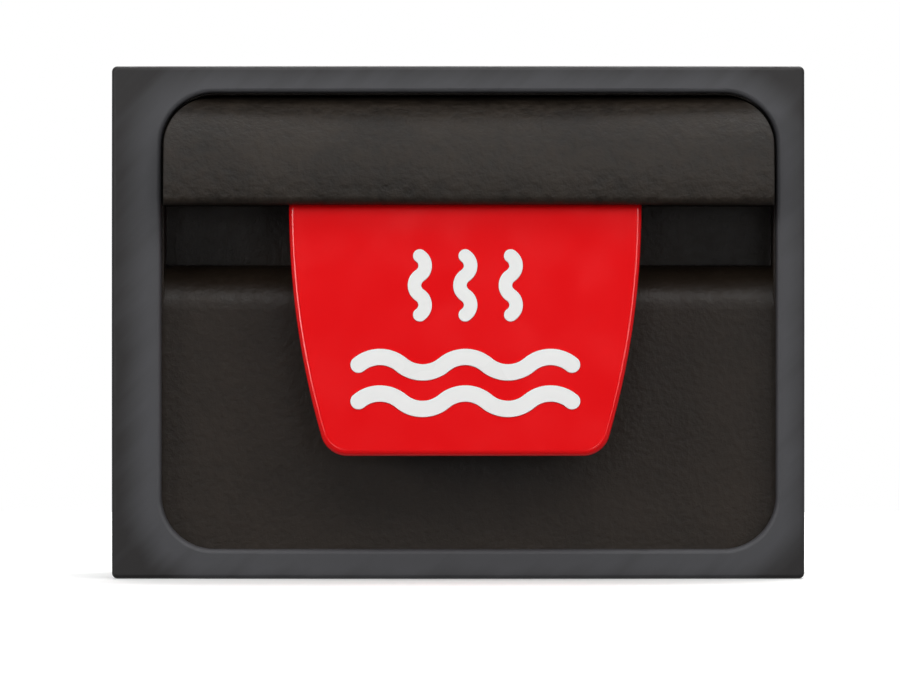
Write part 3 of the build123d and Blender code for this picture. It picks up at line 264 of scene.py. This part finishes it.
# one finish for each material slot; widths, depths, sizes, stains and edges in millimetres
finishes = {
    "frame_plastic": satinAbs(
        "satinAbsGrey", {"dark": "#262424", "light": "#4b4b4e", "rough": 0.55,
                         "uneven": 0.05, "ior": 1.46}),
    "housing_plastic": grainedAbs(
        "grainedAbsBlack", {"dark": "#1a1510", "light": "#2c251e", "rough": 0.53, "ior": 1.36,
                            "width": 1.4, "depth": 0.3, "spread": 0.28}),
    "paddle_plastic": glossAbs("glossAbsRed", {"dark": "#ef0b11", "light": "#f60f15", "rough": 0.13}),
    "symbol_plastic": glossAbs("glossAbsWhite", {"dark": "#f6f6f4", "light": "#fbfbfa", "rough": 0.3}),
    # acetal, moulded and not coloured: milky and a little waxy
    "lever_plastic": mattMoulded(
        "acetalNatural", {"dark": "#d8d4c6", "light": "#e2dfd3", "rough": 0.42,
                          "width": 0.8, "depth": 0.02}),
    # filled nylon, moulded: dark grey, speckled by its filler
    "bush_plastic": mattMoulded(
        "filledNylonGrey", {"dark": "#2c2d30", "light": "#393a3d", "rough": 0.5,
                            "width": 0.4, "depth": 0.02}),
    "pin_steel": linedMetal("turnedStainless", turnedSteel),
    # stainless wire, drawn and wound: bright and nearly even
    "spring_steel": linedMetal(
        "drawnStainless", {"dark": "#a9a9ab", "light": "#bdbdbf", "rough": 0.26,
                           "size": (1.0, 1.0, 1.0), "depth": 0.01, "stain": 5.0, "edge": 0.08}),
    # stainless sheet, brushed: grey, with long level lines
    "sheet_steel": linedMetal(
        "brushedStainless", {"dark": "#a8a8a6", "light": "#b9b9b7", "rough": 0.33,
                             "size": (30.0, 30.0, 0.25), "depth": 0.012, "stain": 25.0, "edge": 0.2}),
    "valve_brass": linedMetal("turnedBrass", turnedBrass),
    # steel screws, zinc plated: cool and bright, a little cloudy
    "screw_steel": linedMetal(
        "zincPlatedSteel", {"dark": "#b0b4b8", "light": "#c4c6c6", "rough": 0.3,
                            "size": (0.8, 0.8, 0.8), "depth": 0.01, "stain": 3.0, "edge": 0.12}),
    # rubber, moulded: black and quite dull
    "gasket_rubber": mattMoulded(
        "rubberBlack", {"dark": "#181819", "light": "#212122", "rough": 0.7, "width": 0.5, "depth": 0.04}),
    # silicone rubber, moulded: brick red with a soft sheen
    "seal_silicone": mattMoulded(
        "siliconeRed", {"dark": "#96352a", "light": "#a8453a", "rough": 0.5, "width": 0.6, "depth": 0.02}),
}
for row in frame["record"]["subparts"]:
    node = nodes[row["node"]]
    node.data.materials.clear()
    node.data.materials.append(finishes[row["material_slot"]])

# the liner is nearly the hood's colour and has a finer, smoother grain, so its shoulder shines more
nodes["liner"].data.materials[0] = grainedAbs(
    "finerGrainedAbsBlack", {"dark": "#1c1610", "light": "#2f261e", "rough": 0.42, "ior": 1.38,
                             "width": 1.0, "depth": 0.1, "spread": 0.6})

# turned pieces that lie on their side have their lines round their own axis
nodes["hinge_pin"].data.materials[0] = linedMetal(
    "turnedStainlessAcross", {**turnedSteel, "size": (0.22, 9.0, 9.0)})
turnedBrassDeep = linedMetal("turnedBrassDeep", {**turnedBrass, "size": (9.0, 0.3, 9.0)})
for name in ("hose_tail", "inlet_locknut"):
    nodes[name].data.materials[0] = turnedBrassDeep


# return spring: round wire wound up the stem, its end turns drawn close on their seats
def makeSpring():
    spring = {"wire": 0.9 * mm, "turns": 5, "steps": 32, "sides": 12, "close": 0.6, "smooth": 40}
    length = springHigh.z - springLow.z
    rise = length - spring["wire"]
    radius = (springHigh.x - springLow.x - spring["wire"]) / 2
    bpy.ops.object.select_all(action="DESELECT")
    bpy.ops.curve.primitive_nurbs_path_add()
    coil = bpy.context.object
    coil.name = "returnSpring"
    coil.data.splines.clear()
    path = coil.data.splines.new("POLY")
    count = spring["turns"] * spring["steps"]
    path.points.add(count)
    for index, point in enumerate(path.points):
        angle = 2 * math.pi * index / spring["steps"]
        share = index / count
        slowed = math.sin(2 * math.pi * share) / (2 * math.pi)
        climb = share - spring["close"] * slowed            # slow at both ends
        height = springLow.z + spring["wire"] / 2 + rise * climb
        point.co = (valveX + radius * math.cos(angle), valveY + radius * math.sin(angle), height, 1)
    coil.data.bevel_depth = spring["wire"] / 2
    coil.data.bevel_resolution = spring["sides"] // 4
    coil.data.use_fill_caps = True
    bpy.ops.object.convert(target="MESH")
    bpy.ops.object.shade_smooth_by_angle(angle=math.radians(spring["smooth"]))
    coil.data.materials.clear()
    coil.data.materials.append(finishes["spring_steel"])
    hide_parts("return_spring")
    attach(coil, "housing")
    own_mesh(coil)


makeSpring()
print("spring wound")

# white paper that the part stands on, with a faint glow so that its far edge doesn't show
paperSheet = {"size": 1.1, "drop": 0.05 * mm, "colour": "#f4f4f3", "rough": 0.9,
              "light": "#ffffff", "glow": 0.15}
bpy.ops.object.select_all(action="DESELECT")
bpy.ops.mesh.primitive_plane_add(size=paperSheet["size"], location=(0, 0, floorZ - paperSheet["drop"]))
floor = bpy.context.object
floor.name = "floor"
paper = newMaterial("whitePaper", {
    "Base Color": linear(paperSheet["colour"]), "Roughness": paperSheet["rough"],
    "Emission Color": linear(paperSheet["light"]), "Emission Strength": paperSheet["glow"]})[0]
floor.data.materials.append(paper)
floor.visible_diffuse = False             # so that the front isn't lit from below
floor.visible_glossy = False

# soft boxes: turn to the right and rise in degrees, distance and size in metres, power in watts
studio = {
    "key": {"turn": 15, "rise": 35, "away": 0.8, "size": (0.8, 0.28), "power": 2.3},
    "top": {"turn": 0, "rise": 72, "away": 0.8, "size": (0.8, 0.4), "power": 2.2},
    "left": {"turn": -45, "rise": 12, "away": 0.9, "size": (0.35, 0.2), "power": 2.0},
    "right": {"turn": 45, "rise": 12, "away": 0.9, "size": (0.35, 0.2), "power": 1.0},
    "front": {"turn": -11, "rise": 3, "away": 1.0, "size": (0.2, 0.2), "power": 0.25},
    "low": {"turn": 13, "rise": 1, "away": 1.0, "size": (0.2, 0.2), "power": 0.4},
    "back": {"turn": 170, "rise": 50, "away": 0.8, "size": (0.6, 0.6), "power": 6.5},
}
target = Vector((0, crestY, 0))
for name, lamp in studio.items():
    turn, rise = math.radians(lamp["turn"]), math.radians(lamp["rise"])
    out = Vector((math.sin(turn) * math.cos(rise), -math.cos(turn) * math.cos(rise), math.sin(rise)))
    data = bpy.data.lights.new(name + "Softbox", "AREA")
    data.shape = "RECTANGLE"
    data.size, data.size_y = lamp["size"]
    data.energy = lamp["power"]
    box = bpy.data.objects.new(name + "Softbox", data)
    box.location = target + out * lamp["away"]
    box.rotation_euler = (-out).to_track_quat("-Z", "Y").to_euler()
    bpy.context.scene.collection.objects.link(box)

# plain white room, kept dim in front so that the front's faces stay dark, paler behind for the metals
room = {"seen": "#ffffff", "tint": "#f6f7f9", "front": 0.14, "rear": 0.6, "turnFrom": -0.25, "turnTo": 0.55}
world = bpy.data.worlds.new("studioRoom")
world.use_nodes = True
bpy.context.scene.world = world
worldTree = world.node_tree
worldTree.nodes.clear()
seen = addNode(worldTree, "ShaderNodeLightPath").outputs["Is Camera Ray"]
facing = addNode(worldTree, "ShaderNodeTexCoord").outputs["Generated"]
facing = addNode(worldTree, "ShaderNodeSeparateXYZ", None, {"Vector": facing}).outputs["Y"]
glow = addNode(worldTree, "ShaderNodeMapRange",
               {"interpolation_type": "SMOOTHSTEP",
                "From Min": room["turnFrom"], "From Max": room["turnTo"],
                "To Min": room["front"], "To Max": room["rear"]}, {"Value": facing})
around = addNode(worldTree, "ShaderNodeBackground", {"Color": linear(room["tint"])},
                 {"Strength": glow.outputs["Result"]})
behind = addNode(worldTree, "ShaderNodeBackground", {"Color": linear(room["seen"]), "Strength": 1.0})
both = addNode(worldTree, "ShaderNodeMixShader", None,
               {0: seen, 1: around.outputs["Background"], 2: behind.outputs["Background"]})
addNode(worldTree, "ShaderNodeOutputWorld", None, {"Surface": both.outputs["Shader"]})
bpy.context.scene.view_settings.view_transform = "Standard"
print("studio lit")

# camera square on to the front, long lens
cameraSetup = {"right": -2.15 * mm, "up": -2.0 * mm, "away": 1.6, "across": 127.2 * mm, "sensor": 36.0}
cameraData = bpy.data.cameras.new("frontCamera")
cameraData.sensor_width = cameraSetup["sensor"]
cameraData.lens = cameraSetup["sensor"] * cameraSetup["away"] / cameraSetup["across"]
camera = bpy.data.objects.new("frontCamera", cameraData)
camera.location = (cameraSetup["right"], crestY - cameraSetup["away"], cameraSetup["up"])
camera.rotation_euler = (math.radians(90), 0, 0)
bpy.context.scene.collection.objects.link(camera)
bpy.context.scene.camera = camera
print("camera set")
